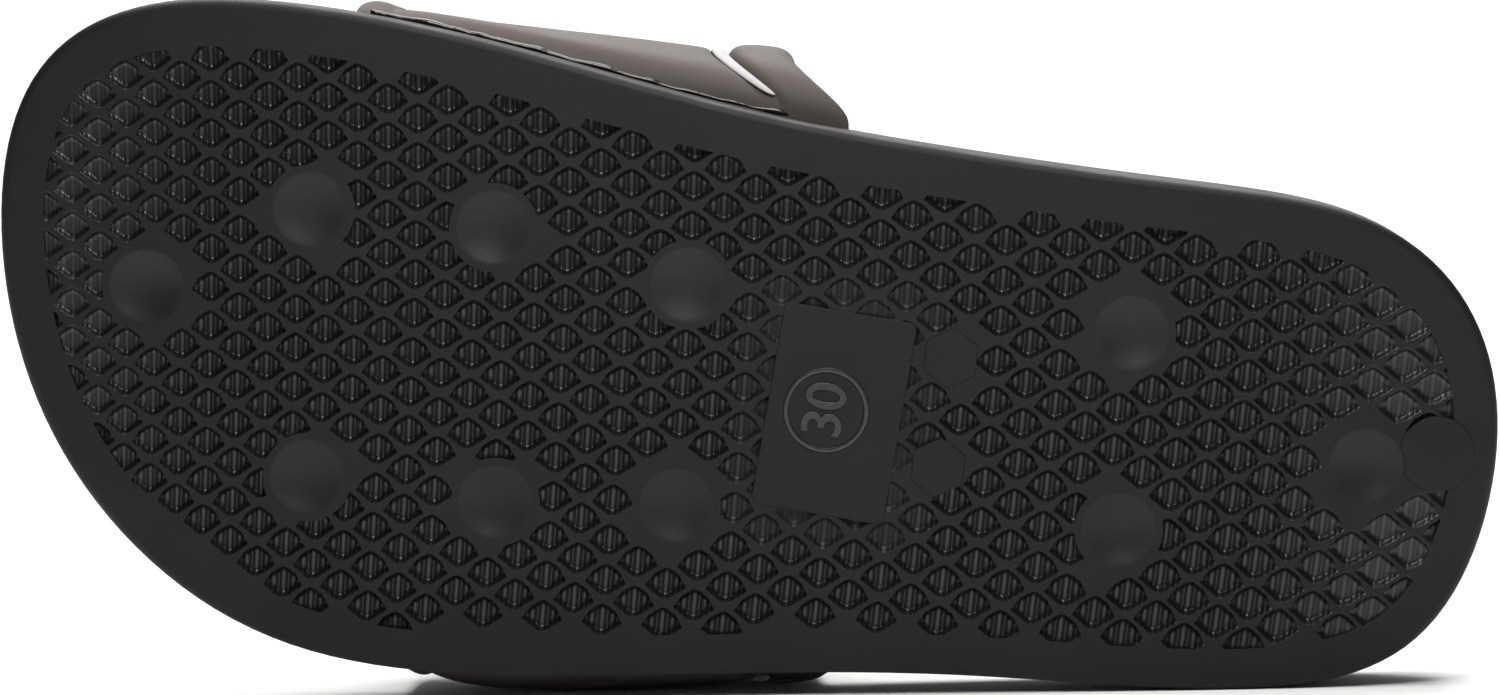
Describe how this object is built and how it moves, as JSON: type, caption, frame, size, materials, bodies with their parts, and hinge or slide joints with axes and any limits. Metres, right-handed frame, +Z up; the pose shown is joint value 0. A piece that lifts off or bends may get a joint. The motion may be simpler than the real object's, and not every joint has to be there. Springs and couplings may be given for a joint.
{
  "type": "slide sandal",
  "caption": "Child's moulded slide sandal for the right foot: lattice tread with grip cups, contoured footbed and a padded band over the foot.",
  "frame": {"origin": "on the floor, under the middle of the shoe's box, with the shoe lying on its outer side", "axes": "+X runs from toe to heel, turned 7.4 degrees down towards the heel; +Y runs from the tread up to the foot; +Z is up, towards the inner side of the foot"},
  "size_m": [0.201, 0.0582, 0.0952],
  "materials": {
    "outsole": "moulded black foam plastic, satin, lightly scuffed",
    "footbed": "moulded black foam plastic, matt, fine pebble",
    "band": "black coated synthetic leather over padding, satin",
    "stripe": "white edge strip, satin"
  },
  "bodies": {
    "root": {"outsole": "outsole", "footbed": "footbed", "upper_band": "band", "edge_stripe": "stripe"}
  },
  "joints": []
}
